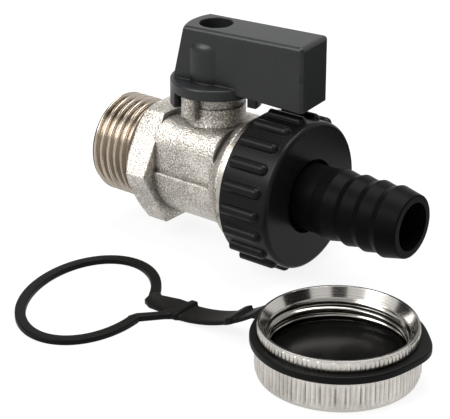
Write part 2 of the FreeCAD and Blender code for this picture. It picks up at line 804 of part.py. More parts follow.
def make_union_nut():
    """Plastic union nut: ribbed grip, plain front band and a front wall round the hose tail."""
    body = new_body("union_nut")
    turned(body, "shell", [
        ("nut_start", "nut_hole"),
        ("nut_start", "nut_radius - nut_edge / 3"),
        ("nut_start + nut_edge / 3", "nut_radius"),
        ("nut_end - nut_edge", "nut_radius"),
        ("nut_end", "nut_radius - nut_edge", "nut_edge", -1),
        ("nut_end", "nut_hole"),
    ])
    rib = turned(body, "rib", [
        ("rib_start", "0"),
        ("rib_start", "rib_radius"),
        ("rib_end - rib_radius", "rib_radius"),
        ("rib_end", "0", "rib_radius", -1),
    ], "Revolution", "H_Axis", ("0", "rib_axis", "0"))
    ribs = body.newObject("PartDesign::PolarPattern", "ribs")
    ribs.Originals = [rib]
    ribs.Axis = (next(item for item in body.Origin.OriginFeatures if item.Role == "X_Axis"), [""])
    ribs.Angle = 360
    ribs.Occurrences = RIBS
    body.Tip = ribs
    bore = turned(body, "bore", box_corners("nut_start", "nut_wall_x", "0", "nut_bore"), "Groove")
    body.Tip = bore
    return body


def make_hose_tail():
    """Hose tail: clamping flange, plain shank and barbs that taper towards the tip."""
    body = new_body("hose_tail")
    corners = [
        ("gasket_end", "tail_bore"),
        ("gasket_end", "tail_flange_radius"),
        ("tail_flange_end", "tail_flange_radius"),
        ("tail_flange_end", "tail_shank_radius"),
        ("first_barb - 2 * barb_back", "tail_shank_radius"),
    ]
    for number in range(BARBS):
        crest = f"first_barb + {number} * barb_pitch"
        corners.append((crest, "barb_crest"))
        if number < BARBS - 1:
            corners.append((f"{crest} + barb_pitch - barb_back", "barb_valley"))
    end = f"first_barb + {BARBS - 1} * barb_pitch + tip_length"
    corners += [
        (f"{end} - tip_round", "tip_radius"),
        (end, "tip_radius - tip_round", "tip_round", -1),
        (end, "tail_bore"),
    ]
    turned(body, "tail", corners)
    return body


def make_union_gasket():
    """Flat rubber ring between the outlet's end and the tail's flange."""
    body = new_body("union_gasket")
    turned(body, "gasket", box_corners("outlet_end", "gasket_end", "gasket_bore", "tail_flange_radius"))
    return body


CAP_PLACE = ("cap_place_x", "cap_place_y", "-rib_crest")


def make_blanking_cap():
    """Turned cap, mouth up, with a groove for the strap's ring."""
    body = new_body("blanking_cap", CAP_PLACE)
    wall = "cap_radius"
    turned(body, "shell", [
        ("0", "0"),
        (f"{wall} - cap_edge", "0"),
        (wall, "cap_edge", "cap_edge", 1),
        (wall, "cap_groove_base"),
        ("cap_groove_radius", "cap_groove_base"),
        ("cap_groove_radius", "cap_groove_top"),
        ("cap_rim_radius", "cap_groove_top"),
        ("cap_rim_radius", "cap_height"),
        ("cap_rim_radius - cap_lip", "cap_height"),
        ("cap_bore", "cap_height - cap_entry_depth"),
        ("cap_bore", "cap_floor"),
        ("0", "cap_floor"),
    ], "Revolution", "V_Axis")
    return body


def make_cap_gasket():
    """Rubber disc on the cap's floor."""
    body = new_body("cap_gasket", CAP_PLACE)
    turned(body, "disc", box_corners(
        "0", "cap_bore - cap_gasket_gap", "cap_floor", "cap_floor + cap_gasket_length"),
        "Revolution", "V_Axis")
    return body


def make_cap_strap():
    """One moulded rubber piece: ring in the cap's groove, tape with two cleats, yoke and oval loop."""
    body = new_body("cap_strap", CAP_PLACE)
    thick = "tape_thickness"
    turned(body, "ring", box_corners("strap_ring_bore", "strap_ring_radius", "strap_base", "strap_top"),
           "Revolution", "V_Axis")
    raised(body, "tape", "XZ_Plane", [[
        ("-strap_ring_bore - strap_ring_width / 2", "strap_base"),
        ("-strap_ring_bore - strap_ring_width / 2", f"strap_base + {thick}"),
        ("-tape_bend_start", f"strap_base + {thick}"),
        ("-tape_joint", f"tape_joint_z + {thick}", "tape_near_arc", 1),
        ("-tape_bend_end", thick, "tape_far_arc", -1),
        ("-notch_reach", thick),
        ("-notch_reach", "0"),
        ("-tape_bend_end", "0"),
        ("-tape_joint", "tape_joint_z", "tape_far_arc", 1),
        ("-tape_bend_start", "strap_base", "tape_near_arc", -1),
    ]], "tape_width", ("0", "0", "0"), "Pad", True)
    for name, reach, base in (("upper_cleat", "upper_cleat_reach", "upper_cleat_base"),
                              ("lower_cleat", "lower_cleat_reach", "0")):
        raised(body, name, "XZ_Plane", [box_corners(
            f"-{reach} - cleat_width / 2", f"cleat_width / 2 - {reach}", base,
            f"{base} + {thick} + cleat_rise")],
            "tape_width + 2 * cleat_overhang", ("0", "0", "0"), "Pad", True)
    grip = "(grip_width / 2)"
    raised(body, "grip", "XY_Plane", [[
        ("strap_ring_bore + strap_ring_width / 2", f"-{grip}"),
        (f"grip_reach - {grip} / 2", f"-{grip}"),
        (f"grip_reach - {grip} / 2", grip, f"{grip} * 1.25", 1),
        ("strap_ring_bore + strap_ring_width / 2", grip),
    ]], "strap_top - strap_base", ("0", "0", "strap_base"), "Pad", False, "grip_turn")

    def oval(grow):
        end = f"(loop_end_radius {grow})"
        side = f"(loop_side_radius {grow})"
        reach = f"(loop_end_x + {end} * loop_end_x / loop_span)"
        rise = f"({end} * loop_side_drop / loop_span)"
        return [
            (reach, f"-{rise}", side, 1),
            (reach, rise, end, 1),
            (f"-{reach}", rise, side, 1),
            (f"-{reach}", f"-{rise}", end, 1),
        ]

    raised(body, "loop", "XY_Plane", [oval("+ loop_band / 2"), oval("- loop_band / 2")],
           "loop_thickness", ("-loop_reach", "-loop_drop", "0"), "Pad", False, "loop_turn")

    def by_loop(run, depth):
        """Corner that lies a run along the loop's long axis and a depth out from it, on the tape's side."""
        return (f"{depth} * sin(loop_turn) + {run} * cos(loop_turn) - loop_reach",
                f"{run} * sin(loop_turn) - {depth} * cos(loop_turn) - loop_drop")

    raised(body, "yoke", "XY_Plane", [[
        ("-lower_cleat_reach", "-tape_width / 2"),
        ("-lower_cleat_reach", "tape_width / 2"),
        ("-notch_reach", "tape_width / 2"),
        by_loop("yoke_upper_run", "loop_half_width"),
        by_loop("-yoke_lower_run", "(loop_half_width - yoke_lower_inset)"),
    ]], "loop_thickness")
    inner = "(loop_half_width - loop_band / 2)"
    notch = raised(body, "notch", "XY_Plane", [[
        ("-notch_reach", "-notch_drop"),
        by_loop("notch_upper_run", inner),
        ("-loop_reach", "-loop_drop"),
        by_loop("-notch_lower_run", inner),
    ]], "2 * loop_thickness", ("0", "0", "0"), "Pocket", True)
    body.Tip = notch
    return body


def check_document():
    """Stop if any object failed or any sub-part has no valid solid."""
    for item in doc.Objects:
        if "Invalid" in item.State or "Error" in item.State:
            raise SystemExit(f"{item.Name} failed: {item.State}")


def main():
    """Build every sub-part, check it and write it out."""
    made = [
        make_valve_body(),
        make_outlet_insert(),
        make_seat("inlet_seat", 1),
        make_seat("outlet_seat", -1),
        make_ball(),
        make_stem(),
        make_stem_washer(),
        make_o_ring("lower_o_ring", "lower_ring_z"),
        make_o_ring("upper_o_ring", "upper_ring_z"),
        make_lever(),
        make_lever_screw(),
        make_union_nut(),
        make_hose_tail(),
        make_union_gasket(),
        make_blanking_cap(),
        make_cap_gasket(),
        make_cap_strap(),
    ]
    doc.recompute()
    check_document()
    os.makedirs("parts", exist_ok=True)
    for piece in made:
        shape = piece.Shape
        if shape.isNull() or not shape.isValid() or not shape.Solids:
            raise SystemExit(f"{piece.Label} has no valid solid")
        shape.exportStep(f"parts/{piece.Label}.step")
        print(f"{piece.Label}: {len(shape.Solids)} solid, {shape.Volume:.1f} mm3, {len(shape.Faces)} faces")


main()
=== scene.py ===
"""Looks of a drain cock: a lever ball valve, its union nut and hose tail, and its blanking cap on a strap.

Every length in the classes below is in millimetres, in the part's own frame, and MM turns it into metres.
"""

from __future__ import annotations

import logging
import math
from dataclasses import dataclass, replace
from enum import Enum
from typing import Any, Callable, Mapping, Sequence

import bpy
import numpy as np
from mathutils import Matrix, Vector

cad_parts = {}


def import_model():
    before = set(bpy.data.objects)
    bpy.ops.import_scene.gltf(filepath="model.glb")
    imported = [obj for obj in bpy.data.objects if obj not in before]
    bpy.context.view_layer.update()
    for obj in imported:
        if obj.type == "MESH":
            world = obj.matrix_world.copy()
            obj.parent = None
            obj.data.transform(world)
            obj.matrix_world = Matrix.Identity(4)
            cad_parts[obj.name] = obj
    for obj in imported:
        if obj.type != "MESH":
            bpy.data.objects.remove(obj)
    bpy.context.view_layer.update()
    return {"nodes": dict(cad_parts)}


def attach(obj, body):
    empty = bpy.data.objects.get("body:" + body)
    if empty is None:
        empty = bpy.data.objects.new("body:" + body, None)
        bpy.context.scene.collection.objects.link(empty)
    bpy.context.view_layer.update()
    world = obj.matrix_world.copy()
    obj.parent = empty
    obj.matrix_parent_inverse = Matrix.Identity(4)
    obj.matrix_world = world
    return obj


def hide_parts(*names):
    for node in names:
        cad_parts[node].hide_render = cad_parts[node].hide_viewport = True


MM = 0.001
LOG = logging.getLogger("drain_cock")

Colour = tuple[float, float, float]
Point = tuple[float, float, float]
Span = tuple[float, float]
Faces = list[list[int]]

ORIGIN: Point = (0.0, 0.0, 0.0)
CAP_CENTRE: Point = (76.7, -30.45, -16.05)
STEM_CENTRE: Point = (25.1, 0.0, 0.0)
FULL_TURN = 2 * np.pi

# A sleeve's ends stand this far in from the gap that it closes, and a thread's back lies this far under it.
SLEEVE_INSET = 0.3
BACK_DROP = 0.5

# Slow drift of a finish's colour: its scale per metre, and its share beside the fine relief.
DRIFT_SCALE = 90.0
DRIFT_SHARE = 0.4

# Painted shade in crevices: occlusion over which it runs from dark to full, and how far its dark lies below
# the shade colour.
PAINTED_SHADE_SPAN: Span = (0.4, 0.95)
PAINTED_SHADE_DEPTH = 3
PAINTED_SHADE_SAMPLES = 8
EDGE_SAMPLES = 6

# Scale of streaks that run upright, as a share of the scale across them.
STREAK_STRETCH: Point = (1.0, 1.0, 0.07)


class Value:
    """One output socket of a material, which takes part in Python arithmetic on values."""

    def __init__(self, graph: Graph, socket: bpy.types.NodeSocket | None) -> None:
        """Keep the socket and the graph that new Math nodes go into."""
        self.graph = graph
        self.socket = socket

    def _math(self, operation: str, first: Any, second: Any) -> Value:
        """Add one Math node for two values or numbers."""
        return self.graph.add("ShaderNodeMath", {"operation": operation}, {0: first, 1: second})

    def __add__(self, other: Any) -> Value:
        """Sum of this value and another."""
        return self._math("ADD", self, other)

    def __radd__(self, other: Any) -> Value:
        """Sum of a number and this value."""
        return self._math("ADD", other, self)

    def __sub__(self, other: Any) -> Value:
        """Difference of this value and another."""
        return self._math("SUBTRACT", self, other)

    def __rsub__(self, other: Any) -> Value:
        """Difference of a number and this value."""
        return self._math("SUBTRACT", other, self)

    def __mul__(self, other: Any) -> Value:
        """Product of this value and another."""
        return self._math("MULTIPLY", self, other)

    def __rmul__(self, other: Any) -> Value:
        """Product of a number and this value."""
        return self._math("MULTIPLY", other, self)

    def __pow__(self, other: Any) -> Value:
        """This value raised to a power."""
        return self._math("POWER", self, other)

    def __rpow__(self, other: Any) -> Value:
        """A number raised to this value."""
        return self._math("POWER", other, self)

    def __lt__(self, other: Any) -> Value:
        """1 where this value is below another, and 0 elsewhere."""
        return self._math("LESS_THAN", self, other)

    def __gt__(self, other: Any) -> Value:
        """1 where this value is above another, and 0 elsewhere."""
        return self._math("GREATER_THAN", self, other)

    def __or__(self, other: Any) -> Value:
        """The larger of this mask and another."""
        return self._math("MAXIMUM", self, other)

    def __ror__(self, other: Any) -> Value:
        """The larger of a number and this mask."""
        return self._math("MAXIMUM", other, self)

    def sibling(self, name: str) -> Value:
        """Another output of the node that this value comes from."""
        return Value(self.graph, self.socket.node.outputs[name])


class Graph:
    """The node tree of one material or of the world."""

    def __init__(self, tree: bpy.types.NodeTree) -> None:
        """Start an empty tree."""
        tree.nodes.clear()
        self.tree = tree

    def add(self, kind: str, settings: Mapping[str, Any] | None = None,
            inputs: Mapping[str | int, Any] | None = None, output: str | int = 0) -> Value:
        """Add one node.

        Args:
            kind: Blender's type name of the node.
            settings: the node's own settings, set first.
            inputs: numbers, colours or values of its input sockets, by name or place.
            output: name or place of the output socket that is wanted.

        Returns:
            The wanted output, ready for arithmetic.
        """
        node = self.tree.nodes.new(kind)
        for name, setting in (settings or {}).items():
            setattr(node, name, setting)
        for name, given in (inputs or {}).items():
            if isinstance(given, Value):
                self.tree.links.new(given.socket, node.inputs[name])
            elif isinstance(given, tuple) and node.inputs[name].type == "RGBA":
                node.inputs[name].default_value = (*given, 1.0)
            else:
                node.inputs[name].default_value = given
        return Value(self, node.outputs[output] if len(node.outputs) else None)

    def blend(self, share: Any, first: Any, second: Any) -> Value:
        """Colour that lies a share of the way from the first colour to the second."""
        return self.add("ShaderNodeMix", {"data_type": "RGBA"}, {0: share, 6: first, 7: second}, 2)

    def noise(self, place: Value, scale: float, detail: float = 2.0, rough: float = 0.5) -> Value:
        """Noise value from 0 to 1 at a place, with a scale per metre."""
        return self.add("ShaderNodeTexNoise", None,
                        {"Vector": place, "Scale": scale, "Detail": detail, "Roughness": rough})


class Grain(Enum):
    """Fine relief that a finish can have."""

    CAST = "cast"
    MOULDED = "moulded"
    TURNED = "turned"
    RUBBER = "rubber"
    STREAKED = "streaked"


class Axis(Enum):
    """Direction of the axis that a turned piece was cut about."""

    FLOW = "X"
    UPRIGHT = "Z"


@dataclass(frozen=True)
class Finish:
    """One surface finish: two colours that it wanders between, gloss, a fine relief, and optionally painted
    shade in its crevices.
    """

    name: str
    colour: Colour
    shade: Colour
    metallic: float
    roughness: float
    spread: float
    grain: Grain
    grain_size: float
    grain_depth: float
    edge: float = 0.0
    axis: Axis = Axis.FLOW
    centre: Point = (0.0, 0.0, 0.0)
    specular: float = 0.5
    contrast: float = 0.4
    # Reach in millimetres of the painted shade in crevices; 0 paints none.
    painted_shade_reach: float = 0.0
    turned_end: float = 0.0
    turned_radius: float = 0.0

    def _place(self, graph: Graph) -> Value:
        """Place on the piece, from the finish's own centre."""
        place = graph.add("ShaderNodeTexCoord", None, None, "Object")
        shift = tuple(-c * MM for c in self.centre)
        return graph.add("ShaderNodeVectorMath", {"operation": "ADD"}, {0: place, 1: shift})

    def _rings(self, graph: Graph, place: Value) -> Value:
        """Place on a turned piece that is the same all round: distance along the axis and out from it."""
        parts = graph.add("ShaderNodeSeparateXYZ", None, {0: place})
        x, y, z = (parts.sibling(name) for name in "XYZ")
        along, one, two = (x, y, z) if self.axis is Axis.FLOW else (z, x, y)
        out = (one * one + two * two) ** 0.5
        return graph.add("ShaderNodeCombineXYZ", None, {0: along, 1: out, 2: 0.0})

    def _turned(self, graph: Graph, place: Value) -> Value:
        """1 where a tool has turned the casting: ahead of the turned end or within the turned radius."""
        rings = graph.add("ShaderNodeSeparateXYZ", None, {0: self._rings(graph, place)})
        return (rings.sibling("X") < self.turned_end * MM) | (rings.sibling("Y") < self.turned_radius * MM)

    def _relief(self, graph: Graph, place: Value) -> Value:
        """Height from 0 to 1 of the finish's fine relief.

        Turned: noise in rings, with a fifth of plain noise. Cast: pits and noise in about equal parts,
        with faint rings where a tool has turned it. Streaked: noise drawn out upright, with a quarter of
        plain noise. Rubber and moulded: plain noise.

        Args:
            graph: the material's nodes.
            place: place on the piece.

        Returns:
            The height.
        """
        scale = 1.0 / (self.grain_size * MM)
        if self.grain is Grain.TURNED:
            rings = graph.noise(self._rings(graph, place), scale, 1.0)
            return rings * 0.8 + graph.noise(place, scale * 0.6, 2.0) * 0.2
        if self.grain is Grain.CAST:
            pits = graph.add("ShaderNodeTexVoronoi", None, {"Vector": place, "Scale": scale}, "Distance")
            cast = pits * 0.45 + graph.noise(place, scale * 1.3, 3.0, 0.65) * 0.55
            rings = graph.noise(self._rings(graph, place), scale * 2, 1.0) * 0.2 + 0.4
            turned = self._turned(graph, place)
            return cast * (1 - turned) + rings * turned
        if self.grain is Grain.RUBBER:
            return graph.noise(place, scale, 3.0, 0.6)
        if self.grain is Grain.STREAKED:
            upright = graph.add("ShaderNodeVectorMath", {"operation": "MULTIPLY"},
                                {0: place, 1: STREAK_STRETCH})
            return graph.noise(upright, scale, 2.0, 0.6) * 0.75 + graph.noise(place, scale, 2.0) * 0.25
        return graph.noise(place, scale, 2.0, 0.4)

    def _with_painted_shade(self, graph: Graph, colour: Value) -> Value:
        """Colour with painted shade: ambient occlusion darkens it below the shade colour in crevices
        narrower than the finish's own reach.
        """
        if self.painted_shade_reach <= 0.0:
            return colour
        # Ambient occlusion paints shade into the base colour in crevices.
        near = graph.add("ShaderNodeAmbientOcclusion", {"samples": PAINTED_SHADE_SAMPLES},
                         {"Distance": self.painted_shade_reach * MM}, "AO")
        free = graph.add("ShaderNodeMapRange", None, {0: near, 1: PAINTED_SHADE_SPAN[0], 2: PAINTED_SHADE_SPAN[1]})
        return graph.blend(free, tuple(c / PAINTED_SHADE_DEPTH for c in self.shade), colour)

    def material(self) -> bpy.types.Material:
        """Build the finish as a node material.

        Returns:
            A material whose colour, gloss and normal vary over the surface.
        """
        made = bpy.data.materials.new(self.name)
        made.use_nodes = True
        graph = Graph(made.node_tree)
        place = self._place(graph)
        relief = self._relief(graph, place)
        drift = graph.noise(place, DRIFT_SCALE, 3.0)
        share = drift * DRIFT_SHARE + relief * (1 - DRIFT_SHARE)
        half = self.contrast / 2
        lift = graph.add("ShaderNodeMapRange", None, {0: share, 1: 0.5 - half, 2: 0.5 + half})
        colour = self._with_painted_shade(graph, graph.blend(lift, self.shade, self.colour))
        rough = (relief - 0.5) * self.spread + (self.roughness + (drift - 0.5) * self.spread)
        bump = {"Height": relief, "Distance": self.grain_depth * MM, "Strength": 1.0}
        if self.edge > 0.0:
            bump["Normal"] = graph.add("ShaderNodeBevel", {"samples": EDGE_SAMPLES},
                                       {"Radius": self.edge * MM})
        normal = graph.add("ShaderNodeBump", None, bump)
        shader = graph.add("ShaderNodeBsdfPrincipled", None, {
            "Base Color": colour, "Metallic": self.metallic, "Roughness": rough, "Normal": normal,
            "Specular IOR Level": self.specular})
        graph.add("ShaderNodeOutputMaterial", None, {"Surface": shader})
        return made


# A finish that gives a reach for its crevices has shade painted into them by ambient occlusion.
CAST_NICKEL = Finish(
    "cast_nickel", colour=(0.7, 0.662, 0.61), shade=(0.2, 0.185, 0.161), metallic=1.0,
    roughness=0.42, spread=0.25, grain=Grain.CAST, grain_size=0.36, grain_depth=0.2, edge=0.6,
    contrast=0.2, painted_shade_reach=1.25)
TURNED_NICKEL = Finish(
    "turned_nickel", colour=(0.5, 0.47, 0.42), shade=(0.38, 0.35, 0.3), metallic=1.0,
    roughness=0.28, spread=0.12, grain=Grain.TURNED, grain_size=0.25, grain_depth=0.006, edge=0.1)
THREAD_BRASS = Finish(
    "thread_brass", colour=(0.6, 0.525, 0.44), shade=(0.2, 0.17, 0.137), metallic=1.0,
    roughness=0.2, spread=0.12, grain=Grain.TURNED, grain_size=0.2, grain_depth=0.02, painted_shade_reach=0.55)
BRIGHT_NICKEL = Finish(
    "bright_nickel", colour=(0.56, 0.54, 0.51), shade=(0.4, 0.385, 0.36), metallic=1.0,
    roughness=0.16, spread=0.08, grain=Grain.TURNED, grain_size=0.3, grain_depth=0.004, edge=0.08,
    axis=Axis.UPRIGHT, centre=CAP_CENTRE)
# The cap's inner thread is the same nickel as its outside, coloured darker as painted shade inside the cap.
SHADED_THREAD_NICKEL = Finish(
    "thread_nickel_painted_shade", colour=(0.46, 0.445, 0.41), shade=(0.15, 0.142, 0.13), metallic=1.0,
    roughness=0.16, spread=0.08, grain=Grain.TURNED, grain_size=0.25, grain_depth=0.006,
    axis=Axis.UPRIGHT, centre=CAP_CENTRE, painted_shade_reach=0.9)
KNURL_NICKEL = Finish(
    "knurl_nickel", colour=(0.8, 0.77, 0.72), shade=(0.3, 0.282, 0.25), metallic=1.0, roughness=0.3,
    spread=0.16, grain=Grain.STREAKED, grain_size=0.45, grain_depth=0.03, axis=Axis.UPRIGHT,
    centre=CAP_CENTRE, painted_shade_reach=0.7)
CHROME = Finish(
    "ball_chrome", colour=(0.84, 0.85, 0.86), shade=(0.78, 0.79, 0.8), metallic=1.0, roughness=0.1,
    spread=0.05, grain=Grain.MOULDED, grain_size=0.5, grain_depth=0.001)
STEM_BRASS = Finish(
    "stem_brass", colour=(0.8, 0.66, 0.36), shade=(0.66, 0.52, 0.26), metallic=1.0, roughness=0.28,
    spread=0.1, grain=Grain.TURNED, grain_size=0.2, grain_depth=0.004, edge=0.06, axis=Axis.UPRIGHT,
    centre=STEM_CENTRE)
ZINC_STEEL = Finish(
    "zinc_steel", colour=(0.3, 0.3, 0.305), shade=(0.2, 0.2, 0.205), metallic=1.0, roughness=0.4,
    spread=0.1, grain=Grain.TURNED, grain_size=0.2, grain_depth=0.004, axis=Axis.UPRIGHT,
    centre=STEM_CENTRE)
LEVER_BLACK = Finish(
    "lever_black", colour=(0.0165, 0.0172, 0.018), shade=(0.0095, 0.01, 0.0105), metallic=0.0,
    roughness=0.33, spread=0.12, grain=Grain.MOULDED, grain_size=0.3, grain_depth=0.008,
    specular=0.23, painted_shade_reach=1.5)
NUT_BLACK = Finish(
    "nut_black", colour=(0.0065, 0.0063, 0.0064), shade=(0.004, 0.0038, 0.004), metallic=0.0,
    roughness=0.3, spread=0.1, grain=Grain.MOULDED, grain_size=0.35, grain_depth=0.006,
    specular=0.09)
TAIL_BLACK = Finish(
    "tail_black", colour=(0.0034, 0.0031, 0.0032), shade=(0.002, 0.0018, 0.0019), metallic=0.0,
    roughness=0.4, spread=0.1, grain=Grain.MOULDED, grain_size=0.4, grain_depth=0.005,
    specular=0.03)
STRAP_RUBBER = Finish(
    "strap_rubber", colour=(0.0042, 0.004, 0.0037), shade=(0.0018, 0.0017, 0.0016), metallic=0.0,
    roughness=0.45, spread=0.16, grain=Grain.RUBBER, grain_size=0.35, grain_depth=0.02,
    specular=0.07)
GASKET_RUBBER = Finish(
    "gasket_rubber", colour=(0.003, 0.003, 0.0026), shade=(0.0018, 0.0018, 0.0016), metallic=0.0,
    roughness=0.22, spread=0.1, grain=Grain.RUBBER, grain_size=0.5, grain_depth=0.004,
    specular=0.05)
SEAL_RUBBER = Finish(
    "seal_rubber", colour=(0.02, 0.02, 0.02), shade=(0.012, 0.012, 0.012), metallic=0.0,
    roughness=0.5, spread=0.1, grain=Grain.RUBBER, grain_size=0.3, grain_depth=0.004)
SEAT_WHITE = Finish(
    "seat_white", colour=(0.86, 0.86, 0.83), shade=(0.78, 0.78, 0.75), metallic=0.0, roughness=0.4,
    spread=0.1, grain=Grain.TURNED, grain_size=0.25, grain_depth=0.003)


class Dresser:
    """Gives finishes to CAD nodes and puts new pieces on their bodies."""

    def __init__(self, nodes: Mapping[str, bpy.types.Object]) -> None:
        """Keep the CAD nodes and the materials made so far."""
        self.nodes = nodes
        self.made: dict[str, bpy.types.Material] = {}

    def material(self, finish: Finish) -> bpy.types.Material:
        """Material of a finish, made once."""
        if finish.name not in self.made:
            self.made[finish.name] = finish.material()
        return self.made[finish.name]

    def dress(self, node: str, finish: Finish) -> None:
        """Give a CAD node, which keeps its shape, a finish."""
        piece = self.nodes[node]
        piece.data.materials.clear()
        piece.data.materials.append(self.material(finish))
        LOG.info("dressed %s in %s", node, finish.name)

    def put(self, piece: bpy.types.Object, body: str, finish: Finish,
            replaces: Sequence[str] = ()) -> bpy.types.Object:
        """Put a new piece on a body.

        Args:
            piece: the new object, in place.
            body: the CAD body that it moves with.
            finish: its finish.
            replaces: the CAD nodes that it stands for.

        Returns:
            The same object.
        """
        piece.data.materials.append(self.material(finish))
        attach(piece, body)
        if replaces:
            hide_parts(*replaces)
        LOG.info("placed %s on %s with %d faces", piece.name, body, len(piece.data.polygons))
        return piece


def new_object(name: str, points: np.ndarray, faces: Faces, sharp: float = 40.0) -> bpy.types.Object:
    """Make a smooth-shaded mesh object.

    Args:
        name: its name.
        points: vertex places in millimetres, one row each.
        faces: vertex numbers of each face.
        sharp: angle in degrees from which an edge stays sharp.

    Returns:
        The object, linked to the scene, at the origin.
    """
    mesh = bpy.data.meshes.new(name)
    mesh.from_pydata((points * MM).tolist(), [], faces)
    mesh.validate()
    mesh.polygons.foreach_set("use_smooth", np.ones(len(mesh.polygons), bool))
    mesh.set_sharp_from_angle(angle=math.radians(sharp))
    made = bpy.data.objects.new(name, mesh)
    bpy.context.scene.collection.objects.link(made)
    return made


def grid_object(name: str, grid: np.ndarray, wrap: tuple[bool, bool], caps: bool = False,
                flip: bool = False, sharp: float = 40.0) -> bpy.types.Object:
    """Make a mesh from a surface given as a grid of points.

    Quad (i, j) joins points (i, j), (i+1, j), (i+1, j+1) and (i, j+1), counted round where it wraps.

    Args:
        name: its name.
        grid: places in millimetres, shaped rows by columns by three.
        wrap: whether the rows and the columns close on themselves.
        caps: whether the first and the last row are closed with a flat face.
        flip: whether the faces turn the other way.
        sharp: angle in degrees from which an edge stays sharp.

    Returns:
        The object.
    """
    rows, columns = grid.shape[:2]
    i, j = np.meshgrid(np.arange(rows - (not wrap[0])), np.arange(columns - (not wrap[1])), indexing="ij")
    up, right = (i + 1) % rows, (j + 1) % columns
    quads = np.stack([i * columns + j, up * columns + j, up * columns + right, i * columns + right], -1)
    quads = quads.reshape(-1, 4)
    faces = (quads[:, ::-1] if flip else quads).tolist()
    if caps:
        first = list(range(columns))
        last = list(range((rows - 1) * columns, rows * columns))
        faces += [first[::-1], last] if flip else [first, last[::-1]]
    return new_object(name, grid.reshape(-1, 3), faces, sharp)


def around(count: int) -> np.ndarray:
    """Angles of a number of even steps round a full turn."""
    return np.linspace(0, FULL_TURN, count, endpoint=False)


def turn_about(axis: Axis, centre: Point, along: np.ndarray, out: np.ndarray | float,
               angle: np.ndarray) -> np.ndarray:
    """Points of a turned surface: out from the axis at an angle, at a distance along it.

    Args:
        axis: direction of the axis.
        centre: a point on it that distances along it count from.
        along: distances along the axis.
        out: distances from the axis.
        angle: angles about the axis, by the right-hand rule.

    Returns:
        The points, in the shape that the three arrays make together.
    """
    one, two = out * np.cos(angle), out * np.sin(angle)
    parts = (along + 0 * one, one, two) if axis is Axis.FLOW else (one, two, along + 0 * one)
    return np.stack(parts, -1) + np.array(centre)


def thread_ridge(along: np.ndarray, angle: np.ndarray, pitch: float) -> np.ndarray:
    """Height from 0 to 1 of a right-hand thread's ridge.

    The phase is the distance along in pitches less the angle in turns; the ridge is a triangle wave of the
    phase with its crest and root cut flat and its corners eased by 3s^2 - 2s^3.

    Args:
        along: distances along the axis.
        angle: angles about it in radians.
        pitch: the thread's pitch.

    Returns:
        Heights in the shape that the arrays make together.
    """
    phase = (along / pitch - angle / FULL_TURN) % 1.0
    wave = np.clip(1.4 * np.abs(2 * phase - 1) - 0.2, 0, 1)
    return wave * wave * (3 - 2 * wave)


def rounded_section(count: int, power: float = 6.0) -> tuple[np.ndarray, np.ndarray]:
    """Outline of a rounded square from -1 to 1: cosine and sine drawn out to the power 2 / power.

    Args:
        count: number of points.
        power: how square it is; 2 is a circle.

    Returns:
        The two coordinates of its points, anticlockwise.
    """
    t = around(count) + np.pi / count
    c, s = np.cos(t), np.sin(t)
    return np.sign(c) * np.abs(c) ** (2 / power), np.sign(s) * np.abs(s) ** (2 / power)


def bare_copy(node: bpy.types.Object, drop: Callable[[np.ndarray], np.ndarray]) -> tuple[np.ndarray, Faces]:
    """Points and triangles of a CAD node, with equal points merged and some triangles left out.

    Args:
        node: the CAD node.
        drop: a function from the triangles' centres, in millimetres, to a mask of those to leave out.

    Returns:
        Points in millimetres, and triangles.
    """
    mesh = node.data
    mesh.calc_loop_triangles()
    spots = np.empty(len(mesh.vertices) * 3)
    mesh.vertices.foreach_get("co", spots)
    corners = np.empty(len(mesh.loop_triangles) * 3, np.int64)
    mesh.loop_triangles.foreach_get("vertices", corners)
    points, number = np.unique(np.round(spots.reshape(-1, 3) / MM, 4), axis=0, return_inverse=True)
    triangles = number.reshape(-1)[corners].reshape(-1, 3)
    kept = ~drop(points[triangles].mean(1))
    kept &= (triangles[:, 0] != triangles[:, 1]) & (triangles[:, 1] != triangles[:, 2])
    kept &= triangles[:, 2] != triangles[:, 0]
    return points, triangles[kept].tolist()


def strip(low: np.ndarray, high: np.ndarray) -> Faces:
    """Quads between two rings of as many vertices, facing away from the flow's axis."""
    return np.stack([low, np.roll(low, -1), np.roll(high, -1), high], -1).tolist()


def zipped(low: np.ndarray, low_turn: np.ndarray, high: np.ndarray, high_turn: np.ndarray) -> Faces:
    """Triangles between two rings of unlike vertex counts, facing away from the flow's axis.

    Each step along one ring makes a triangle with the vertex of the other ring that its own steps have
    reached by the middle of that step. Of two steps with the same middle, the lower ring's comes first.

    Args:
        low: vertex numbers of the ring that lies lower along the flow, by rising angle.
        low_turn: their angles.
        high: vertex numbers of the other ring, by rising angle.
        high_turn: their angles.

    Returns:
        The triangles.
    """
    low_step = low_turn + (np.roll(low_turn, -1) - low_turn) % FULL_TURN / 2
    high_step = high_turn + (np.roll(high_turn, -1) - high_turn) % FULL_TURN / 2
    met_high = high[np.searchsorted(high_step, low_step, "left") % len(high)]
    met_low = low[np.searchsorted(low_step, high_step, "right") % len(low)]
    return (np.stack([low, np.roll(low, -1), met_high], -1).tolist()
            + np.stack([met_low, np.roll(high, -1), high], -1).tolist())


